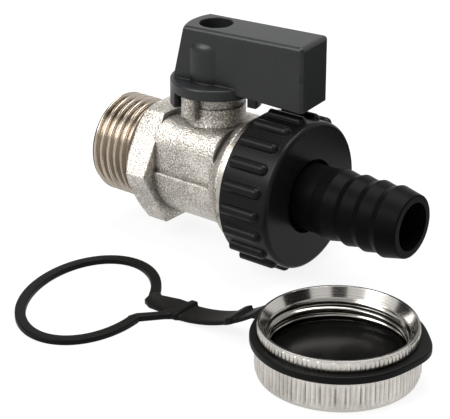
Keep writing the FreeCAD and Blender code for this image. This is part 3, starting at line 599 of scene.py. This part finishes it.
def sleeved(points: np.ndarray, triangles: Faces, radius: float) -> tuple[np.ndarray, Faces]:
    """Close the gap that a left-out thread blank leaves between two border rings about the flow.

    Each border ring is drawn in to a ring of the sleeve's radius, a little further on, and those two
    are zipped.

    Args:
        points: points in millimetres.
        triangles: the triangles that are left.
        radius: radius of the sleeve that closes the gap, under the thread.

    Returns:
        Points and faces of the closed mesh.
    """
    faces = np.array(triangles)
    edges = np.sort(np.concatenate([faces[:, [0, 1]], faces[:, [1, 2]], faces[:, [2, 0]]]), axis=1)
    lone, count = np.unique(edges, axis=0, return_counts=True)
    border = np.unique(lone[count == 1])
    angle = np.arctan2(points[border, 2], points[border, 1]) % FULL_TURN
    border, angle = border[np.argsort(angle)], np.sort(angle)
    along = points[border, 0]
    low = along < along.mean()
    inset = np.where(low, SLEEVE_INSET, -SLEEVE_INSET)
    inner = turn_about(Axis.FLOW, ORIGIN, along + inset, radius, angle)
    drawn = np.arange(len(border)) + len(points)
    made = strip(border[low], drawn[low]) + strip(drawn[~low], border[~low])
    made += zipped(drawn[low], angle[low], drawn[~low], angle[~low])
    return np.concatenate([points, inner]), triangles + made


@dataclass(frozen=True)
class ThreadedEnd:
    """A male thread along the flow, from a chamfered free end to the body that carries it."""

    crest: float
    depth: float
    pitch: float
    free_end: float
    root_end: float
    chamfer: float
    root_radius: float
    sleeve: float
    lead_slope: float = 2.5
    runout_slope: float = 2.2
    turn_rows: int = 26
    columns: int = 180

    def surface(self) -> np.ndarray:
        """Grid of the thread, which closes on itself under the sleeve of the body that carries it.

        The radius is the crest less the groove's depth where the ridge is low, under a cone at the free
        end, over a steep cone there that closes the groove, and under, or over, a steep cone that meets
        the carrying body's own radius at the other end.

        Returns:
            Rows along the axis by columns round it.
        """
        length = abs(self.root_end - self.free_end)
        rows = int(length / self.pitch * self.turn_rows)
        share = np.linspace(0, 1, rows)[:, None]
        along = self.free_end + (self.root_end - self.free_end) * share
        angle = around(self.columns)[None, :]
        out = self.crest - self.depth * (1 - thread_ridge(along, angle, self.pitch))
        rim = self.crest - self.chamfer
        out = np.minimum(out, rim + share * length)
        out = np.maximum(out, rim - share * length * self.lead_slope)
        room = (1 - share) * length * self.runout_slope
        if self.root_radius < self.crest:
            out = np.minimum(out, self.root_radius + room)
        else:
            out = np.maximum(out, self.root_radius - room)
        inset = SLEEVE_INSET * np.sign(self.root_end - self.free_end)
        under = np.full((1, self.columns), self.sleeve - BACK_DROP)
        along = np.concatenate([along[:1] + inset, along, along[-1:] - inset])
        return turn_about(Axis.FLOW, ORIGIN, along, np.concatenate([under, out, under]), angle)


@dataclass
class Casting:
    """The forged body and the bush screwed into it, with their threads cut as helices."""

    thread_inner: float = 9.3
    relief_end: float = 11.59
    bore_limit: float = 9.25
    bush_root: float = 12.2
    inlet_margin: float = 0.05
    outlet_margin: float = 0.01
    sharp: float = 32.0
    inlet: ThreadedEnd = ThreadedEnd(
        crest=10.4775, depth=1.0, pitch=1.814, free_end=0.0, root_end=10.3, chamfer=0.5,
        root_radius=9.2775, sleeve=9.2)
    outlet: ThreadedEnd = ThreadedEnd(
        crest=13.2205, depth=0.9, pitch=1.814, free_end=43.175, root_end=36.575, chamfer=0.9,
        root_radius=13.2205, sleeve=12.2)

    def _inlet_blank(self, centres: np.ndarray) -> np.ndarray:
        """Mask of the triangles of the inlet's ringed thread blank."""
        out = np.hypot(centres[:, 1], centres[:, 2])
        return (centres[:, 0] < self.inlet.root_end + self.inlet_margin) & (out > self.thread_inner)

    def _outlet_blank(self, centres: np.ndarray) -> np.ndarray:
        """Mask of the triangles of the bush's ringed thread blank."""
        out = np.hypot(centres[:, 1], centres[:, 2])
        return (centres[:, 0] > self.outlet.root_end + self.outlet_margin) & (out > self.bush_root)

    def build(self, dresser: Dresser) -> None:
        """Make the body and the bush with cut threads."""
        shell = bare_copy(dresser.nodes["valve_body"], self._inlet_blank)
        body = new_object("body_casting", *sleeved(*shell, self.inlet.sleeve), self.sharp)
        finish = replace(CAST_NICKEL, turned_end=self.relief_end, turned_radius=self.bore_limit)
        dresser.put(body, "valve", finish, ["valve_body"])
        thread = grid_object("inlet_thread", self.inlet.surface(), (True, True), flip=True)
        dresser.put(thread, "valve", THREAD_BRASS)
        shell = bare_copy(dresser.nodes["outlet_insert"], self._outlet_blank)
        bush = new_object("outlet_bush", *sleeved(*shell, self.outlet.sleeve), self.sharp)
        dresser.put(bush, "valve", TURNED_NICKEL, ["outlet_insert"])
        union = grid_object("union_thread", self.outlet.surface(), (True, True))
        dresser.put(union, "valve", THREAD_BRASS)

    def dress(self, dresser: Dresser) -> None:
        """Give the hidden pieces of the waterway their finishes."""
        for node in ("inlet_seat", "outlet_seat", "stem_washer"):
            dresser.dress(node, SEAT_WHITE)
        for node in ("lower_o_ring", "upper_o_ring"):
            dresser.dress(node, SEAL_RUBBER)
        dresser.dress("ball", CHROME)
        dresser.dress("stem", STEM_BRASS)


@dataclass
class Handle:
    """The lever and its screw, which keep their CAD shapes with softened edges."""

    lever_edge: float = 0.4
    screw_edge: float = 0.08

    def dress(self, dresser: Dresser) -> None:
        """Give the lever and its screw their finishes."""
        dresser.dress("lever", replace(LEVER_BLACK, edge=self.lever_edge))
        dresser.dress("lever_screw", replace(ZINC_STEEL, edge=self.screw_edge))


@dataclass
class Union:
    """The union nut, the hose tail and the gasket between tail and bush, with softened edges."""

    nut_edge: float = 0.25
    tail_edge: float = 0.15

    def dress(self, dresser: Dresser) -> None:
        """Give the union's pieces their finishes."""
        dresser.dress("union_nut", replace(NUT_BLACK, edge=self.nut_edge))
        dresser.dress("hose_tail", replace(TAIL_BLACK, edge=self.tail_edge))
        dresser.dress("union_gasket", SEAL_RUBBER)


@dataclass
class Cap:
    """The blanking cap: knurled outside, threaded inside, with a rubber disc on its floor."""

    radius: float = 14.6205
    bore: float = 12.9205
    rim_radius: float = 14.3205
    knurl_count: int = 104
    wear_count: int = 37
    wall_depth: float = 0.3
    rim_depth: float = 0.14
    wall_span: Span = (0.7, 6.0)
    rim_span: Span = (7.9, 9.6)
    knurl_rows: int = 9
    ridge_columns: int = 10
    ridge_power: float = 0.7
    knurl_back: float = -0.2
    knurl_sharp: float = 60.0
    clear: float = 0.01
    thread_base: float = 4.0
    thread_top: float = 8.2
    thread_depth: float = 0.8
    thread_rows: int = 72
    thread_columns: int = 180
    thread_back: float = 0.3
    pitch: float = 1.814
    disc_radius: float = 12.82
    disc_base: float = 1.8
    disc_top: float = 3.8
    disc_dish: float = 0.06
    disc_flat: Span = (0.002, 0.98)
    disc_columns: int = 96

    def backed(self, height: np.ndarray, out: np.ndarray, angle: np.ndarray, sink: float) -> np.ndarray:
        """Grid of a band round the cap whose rows close on themselves through a back sunk into the wall.

        Args:
            height: heights of the band's rows.
            out: distances of its points from the cap's axis.
            angle: angles of its columns.
            sink: how far out from the band's ends its back lies.

        Returns:
            Rows upwards, then down the back, by columns round the cap.
        """
        height = np.concatenate([height[:1], height, height[-1:]])
        out = np.concatenate([out[:1] + sink, out, out[-1:] + sink])
        return turn_about(Axis.UPRIGHT, CAP_CENTRE, height, out, angle)

    def knurl(self, radius: float, depth: float, span: Span) -> np.ndarray:
        """Grid of a straight knurl: a radius plus a cosine ridge that fades out at both ends.

        The ridges' height goes up and down by a sixth as a slower wave, as a cut knurl's does.

        Args:
            radius: radius of the wall under the knurl.
            depth: height of its ridges.
            span: heights where it starts and ends.

        Returns:
            Rows upwards by columns round the cap.
        """
        share = np.linspace(0, 1, self.knurl_rows)[:, None]
        height = span[0] + (span[1] - span[0]) * share
        angle = around(self.knurl_count * self.ridge_columns)[None, :]
        wear = (5 + np.cos(self.wear_count * angle)) / 6
        ridge = wear * (0.5 + 0.5 * np.cos(self.knurl_count * angle)) ** self.ridge_power
        fade = np.clip(np.minimum(share, 1 - share) * self.knurl_rows, 0, 1)
        out = radius + self.clear + depth * ridge * fade
        return self.backed(height, out, angle, self.knurl_back)

    def thread(self) -> np.ndarray:
        """Grid of the inner thread: the bore less a ridge that runs in and out at its ends.

        Returns:
            Rows upwards by columns round the cap.
        """
        share = np.linspace(0, 1, self.thread_rows)[:, None]
        height = self.thread_base + (self.thread_top - self.thread_base) * share
        angle = around(self.thread_columns)[None, :]
        fade = np.clip(np.minimum(share * 4, (1 - share) * 5), 0, 1)
        out = self.bore - self.clear - self.thread_depth * fade * thread_ridge(height, angle, self.pitch)
        return self.backed(height, out, angle, self.thread_back)

    def disc(self) -> np.ndarray:
        """Grid of the rubber disc: a faintly dished top that rolls over a rounded edge to its underside.

        Returns:
            Rows out from the centre by columns round it.
        """
        reach = np.linspace(*self.disc_flat, 24) * self.disc_radius
        turn = np.linspace(np.pi / 2, -np.pi / 2, 14)[1:]
        half = (self.disc_top - self.disc_base) / 2
        soft = self.disc_radius - reach[-1]
        out = np.concatenate([reach, reach[-1] + soft * np.cos(turn), reach[:1]])
        height = np.concatenate([self.disc_top - self.disc_dish * (1 - (reach / reach[-1]) ** 2),
                                 self.disc_base + half + half * np.sin(turn), [self.disc_base]])
        angle = around(self.disc_columns)[None, :]
        return turn_about(Axis.UPRIGHT, CAP_CENTRE, height[:, None], out[:, None], angle)

    def build(self, dresser: Dresser) -> None:
        """Make the knurl, the inner thread and the disc, and give the cap its finish."""
        dresser.dress("blanking_cap", BRIGHT_NICKEL)
        knurls = (("cap_knurl", self.radius, self.wall_depth, self.wall_span),
                  ("rim_knurl", self.rim_radius, self.rim_depth, self.rim_span))
        for name, *sizes in knurls:
            knurl = grid_object(name, self.knurl(*sizes), (True, True), flip=True, sharp=self.knurl_sharp)
            dresser.put(knurl, "cap", KNURL_NICKEL)
        thread = grid_object("cap_thread", self.thread(), (True, True))
        dresser.put(thread, "cap", SHADED_THREAD_NICKEL)
        disc = grid_object("cap_disc", self.disc(), (False, True), caps=True)
        dresser.put(disc, "cap", GASKET_RUBBER, ["cap_gasket"])


@dataclass
class Strap:
    """The rubber strap in the cap's frame: ring in the groove, tape with two cleats, yoke and oval loop."""

    ring_bore: float = 13.97
    ring_radius: float = 15.82
    base: float = 6.2
    top: float = 7.7
    grip_rise: float = 1.0
    grip_turn: float = 18.0
    grip_spread: float = 15.0
    half_width: float = 2.95
    thickness: float = 1.0
    tape_start: float = 15.0
    bend_start: float = 16.4
    bend_end: float = 36.8
    bend_share: float = 0.06
    tape_end: float = 37.6
    cleats: Span = (22.3, 35.4)
    cleat_width: float = 1.7
    cleat_rise: float = 0.7
    cleat_overhang: float = 0.5
    loop_centre: Span = (-53.35, -6.97)
    loop_turn: float = 108.4
    loop_half: Span = (17.6, 12.0)
    loop_span: Span = (-74.0, 253.0)
    band_half: float = 1.05
    band_height: float = 1.2
    yoke_edge: tuple[Span, ...] = ((0.0, 0.2), (0.08, 0.06), (0.22, 0.0))
    ring_rows: int = 200
    tape_rows: int = 190
    loop_rows: int = 220
    band_points: int = 28
    tape_points: int = 32
    sharp: float = 50.0
    yoke: tuple[Span, ...] = (
        (-35.4, -2.9), (-35.4, 2.9), (-38.6, 2.85), (-42.4, 1.9), (-43.6, 2.6), (-44.8, 1.4),
        (-44.0, -1.45), (-42.2, -2.3), (-38.3, -2.35), (-38.1, -3.2), (-41.5, -6.8), (-42.0, -8.6),
        (-40.4, -10.0), (-39.9, -7.6), (-36.8, -4.0))

    def ring(self) -> np.ndarray:
        """Grid of the ring: a rounded rectangle carried round the cap, drawn out where the grip is.

        Returns:
            Rows round the cap by columns round the section.
        """
        angle = around(self.ring_rows)[:, None]
        a, b = rounded_section(self.band_points)
        away = (angle - math.radians(self.grip_turn) + np.pi) % FULL_TURN - np.pi
        reach = self.ring_radius + self.grip_rise * np.exp(-(away / math.radians(self.grip_spread)) ** 2)
        out = self.ring_bore + (reach - self.ring_bore) * (a + 1) / 2
        height = self.base + (self.top - self.base) * (b + 1) / 2 + 0 * angle
        return turn_about(Axis.UPRIGHT, CAP_CENTRE, height, out, angle)

    def tape_height(self, reach: np.ndarray) -> np.ndarray:
        """Height of the tape's underside: flat, two arcs that meet on one slope, then flat on the floor.

        Args:
            reach: distances from the cap's axis.

        Returns:
            Heights above the floor.
        """
        length = self.bend_end - self.bend_start
        bow = (length ** 2 + self.base ** 2) / (2 * self.base)
        near, far = self.bend_share * bow, (1 - self.bend_share) * bow
        past = np.clip(reach - self.bend_start, 0, length)
        upper = self.base - near + np.sqrt(np.maximum(near ** 2 - past ** 2, 0))
        lower = far - np.sqrt(far ** 2 - (length - past) ** 2 * (past > self.bend_share * length))
        return np.where(past <= self.bend_share * length, upper, lower)

    def tape(self) -> np.ndarray:
        """Grid of the tape: a rounded rectangle carried along the bend, wider and higher at the cleats.

        Each cleat adds 1 / (1 + (distance / half its width)^8) of its overhang and rise.

        Returns:
            Rows along the tape by columns round the section.
        """
        reach = np.linspace(self.tape_start, self.tape_end, self.tape_rows)[:, None]
        a, b = rounded_section(self.tape_points)
        swell = sum(1 / (1 + ((reach - c) / (self.cleat_width / 2)) ** 8) for c in self.cleats)
        side = (self.half_width + self.cleat_overhang * swell) * a
        height = self.tape_height(reach) + (self.thickness + self.cleat_rise * swell) * (b + 1) / 2
        return np.stack([-reach + 0 * side, side, height], -1) + np.array(CAP_CENTRE)

    def loop(self) -> np.ndarray:
        """Grid of the loop: a rounded rectangle carried along an ellipse that is open where the yoke is.

        Returns:
            Rows along the ellipse by columns round the section.
        """
        t = np.radians(np.linspace(*self.loop_span, self.loop_rows))
        turn = math.radians(self.loop_turn)
        spin = np.array([[math.cos(turn), math.sin(turn)], [-math.sin(turn), math.cos(turn)]])
        half = np.array(self.loop_half)
        path = np.stack([np.cos(t), np.sin(t)], -1) * half @ spin + np.array(self.loop_centre)
        normal = np.stack([np.cos(t) / half[0], np.sin(t) / half[1]], -1) @ spin
        normal /= np.linalg.norm(normal, axis=1, keepdims=True)
        a, b = rounded_section(self.band_points)
        flat = path[:, None, :] + normal[:, None, :] * (self.band_half * a)[None, :, None]
        height = self.band_height * (b + 1) / 2
        grid = np.concatenate([flat, np.broadcast_to(height[None, :, None], (*flat.shape[:2], 1))], -1)
        return grid + np.array(CAP_CENTRE)

    def plate(self) -> np.ndarray:
        """Grid of the yoke: its outline carried up through its thickness, drawn in at the top and bottom.

        Each corner is drawn in along the mean of its two sides' normals.

        Returns:
            Rows upwards by columns round the outline.
        """
        corners = np.array(self.yoke)
        ahead = np.roll(corners, -1, 0) - corners
        ahead /= np.linalg.norm(ahead, axis=1, keepdims=True)
        inward = np.stack([-ahead[:, 1], ahead[:, 0]], -1)
        mean = inward + np.roll(inward, 1, 0)
        mean /= np.maximum((mean * inward).sum(1, keepdims=True), 0.4)
        upper = [(self.band_height - height, inset) for height, inset in reversed(self.yoke_edge)]
        rows = [np.concatenate([corners + mean * inset, np.full((len(corners), 1), height)], 1)
                for height, inset in (*self.yoke_edge, *upper)]
        return np.stack(rows) + np.array(CAP_CENTRE)

    def build(self, dresser: Dresser) -> None:
        """Make the strap's four runs, which together stand for its solid."""
        runs = (("strap_ring", self.ring(), (True, True), False, False),
                ("strap_tape", self.tape(), (False, True), True, False),
                ("strap_loop", self.loop(), (False, True), True, False),
                ("strap_yoke", self.plate(), (False, True), True, True))
        for name, grid, wrap, caps, flip in runs:
            run = grid_object(name, grid, wrap, caps, flip, self.sharp)
            dresser.put(run, "valve", STRAP_RUBBER, ["cap_strap"])


@dataclass(frozen=True)
class Lamp:
    """A square soft lamp: its place, its side in millimetres and its power in watts."""

    name: str
    place: Point
    size: float
    power: float


@dataclass(frozen=True)
class Card:
    """A dark card that only mirror-like surfaces see: its place, its sides and what it faces."""

    name: str
    place: Point
    width: float
    height: float
    target: Point = (40.0, -10.0, 0.0)


@dataclass
class Studio:
    """Pale floor, soft light, dark cards that give the metal something to mirror, and the camera."""

    eye: Point = (222.818, -248.930, 132.857)
    azimuth: float = 38.148
    elevation: float = 24.113
    focal_pixels: float = 1682.32
    image_width: int = 450
    sensor: float = 36.0
    floor_level: float = -16.05
    floor_gap: float = 0.02
    floor_middle: float = 40.0
    floor_half: float = 1500.0
    floor_grey: Colour = (0.86, 0.86, 0.86)
    floor_glow: float = 0.88
    world_light: float = 0.5
    white: Colour = (1.0, 1.0, 1.0)
    card_black: Colour = (0.02, 0.02, 0.02)
    middle: Point = (40.0, -10.0, 0.0)
    lamps: tuple[Lamp, ...] = (
        Lamp("key_lamp", (-150.0, -420.0, 420.0), 360.0, 3.8),
        Lamp("top_lamp", (60.0, 120.0, 560.0), 420.0, 4.6))
    cards: tuple[Card, ...] = (
        Card("left_card", (-420.0, -160.0, 60.0), 260.0, 420.0),
        Card("right_card", (430.0, 60.0, 120.0), 300.0, 420.0),
        Card("back_card", (-225.0, 208.0, 323.0), 420.0, 200.0),
        Card("rear_card", (120.0, 136.0, -15.5), 164.0, 164.0, (119.0, 136.0, 300.0)),
        Card("upper_card", (-230.0, -30.0, 330.0), 200.0, 150.0),
        Card("front_card", (250.0, -280.0, 160.0), 130.0, 110.0))

    def camera(self) -> None:
        """Set the camera at the photograph's viewing angle."""
        a, e = math.radians(self.azimuth), math.radians(self.elevation)
        back = Vector((math.sin(a) * math.cos(e), -math.cos(a) * math.cos(e), math.sin(e)))
        right = Vector((math.cos(a), math.sin(a), 0.0))
        data = bpy.data.cameras.new("camera")
        data.sensor_fit = "HORIZONTAL"
        data.sensor_width = self.sensor
        data.lens = self.focal_pixels * self.sensor / self.image_width
        data.clip_start = 0.01
        made = bpy.data.objects.new("camera", data)
        turn = Matrix((right, back.cross(right), back)).transposed().to_4x4()
        made.matrix_world = Matrix.Translation(Vector(self.eye) * MM) @ turn
        bpy.context.scene.collection.objects.link(made)
        bpy.context.scene.camera = made

    def _seen(self, graph: Graph) -> Value:
        """1 for rays that show the background: from the camera, a mirror or glass."""
        rays = graph.add("ShaderNodeLightPath")
        direct = rays.sibling("Is Camera Ray") | rays.sibling("Is Glossy Ray")
        return direct | rays.sibling("Is Transmission Ray")

    def world(self) -> None:
        """Light all round at a plain level, with a white background."""
        made = bpy.data.worlds.new("studio_world")
        made.use_nodes = True
        bpy.context.scene.world = made
        graph = Graph(made.node_tree)
        strength = self._seen(graph) * (1.0 - self.world_light) + self.world_light
        shade = graph.add("ShaderNodeBackground", None, {"Color": self.white, "Strength": strength})
        graph.add("ShaderNodeOutputWorld", None, {"Surface": shade})

    def floor(self) -> None:
        """White floor that keeps a faint shadow."""
        half = self.floor_half
        square = np.array([[-half, -half, 0], [half, -half, 0], [half, half, 0], [-half, half, 0]], float)
        shift = np.array([self.floor_middle, 0.0, self.floor_level - self.floor_gap])
        made = new_object("floor", square + shift, [[0, 1, 2, 3]])
        paint = bpy.data.materials.new("floor_white")
        paint.use_nodes = True
        graph = Graph(paint.node_tree)
        matt = graph.add("ShaderNodeBsdfDiffuse", None, {"Color": self.floor_grey})
        glow = graph.add("ShaderNodeEmission", None, {"Color": self.white, "Strength": 1.0})
        share = self._seen(graph) * self.floor_glow
        mixed = graph.add("ShaderNodeMixShader", None, {0: share, 1: matt, 2: glow})
        graph.add("ShaderNodeOutputMaterial", None, {"Surface": mixed})
        made.data.materials.append(paint)

    def hang(self, lamp: Lamp) -> None:
        """Hang one lamp, facing the middle of the part."""
        data = bpy.data.lights.new(lamp.name, "AREA")
        data.size = lamp.size * MM
        data.energy = lamp.power
        made = bpy.data.objects.new(lamp.name, data)
        spot = Vector(lamp.place) * MM
        aim = Vector(self.middle) * MM - spot
        made.matrix_world = Matrix.Translation(spot) @ aim.to_track_quat("-Z", "Y").to_matrix().to_4x4()
        bpy.context.scene.collection.objects.link(made)

    def stand(self, card: Card) -> None:
        """Stand one card up, seen only in mirror-like surfaces."""
        aim = (Vector(card.target) - Vector(card.place)).normalized()
        across = aim.cross(Vector((0, 0, 1))).normalized()
        sides = np.array([across * card.width, across.cross(aim) * card.height]) / 2
        signs = np.array([[-1, -1], [1, -1], [1, 1], [-1, 1]], float)
        made = new_object(card.name, np.array(card.place) + signs @ sides, [[0, 1, 2, 3]])
        paint = bpy.data.materials.new(card.name)
        paint.use_nodes = True
        graph = Graph(paint.node_tree)
        dark = graph.add("ShaderNodeEmission", None, {"Color": self.card_black, "Strength": 1.0})
        graph.add("ShaderNodeOutputMaterial", None, {"Surface": dark})
        made.data.materials.append(paint)
        made.visible_camera = False
        made.visible_diffuse = False
        made.visible_shadow = False
        made.visible_transmission = False

    def build(self) -> None:
        """Set up the view, the floor, the light and the cards."""
        bpy.context.scene.view_settings.view_transform = "Standard"
        self.camera()
        self.world()
        self.floor()
        for lamp in self.lamps:
            self.hang(lamp)
        for card in self.cards:
            self.stand(card)
        LOG.info("studio has %d lamps and %d cards", len(self.lamps), len(self.cards))


def main() -> None:
    """Load the frame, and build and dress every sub-assembly."""
    logging.basicConfig(level=logging.INFO, format="%(name)s: %(message)s")
    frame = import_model()
    dresser = Dresser(frame["nodes"])
    casting = Casting()
    casting.build(dresser)
    casting.dress(dresser)
    Handle().dress(dresser)
    Union().dress(dresser)
    Cap().build(dresser)
    Strap().build(dresser)
    Studio().build()


if __name__ == "__main__":
    main()
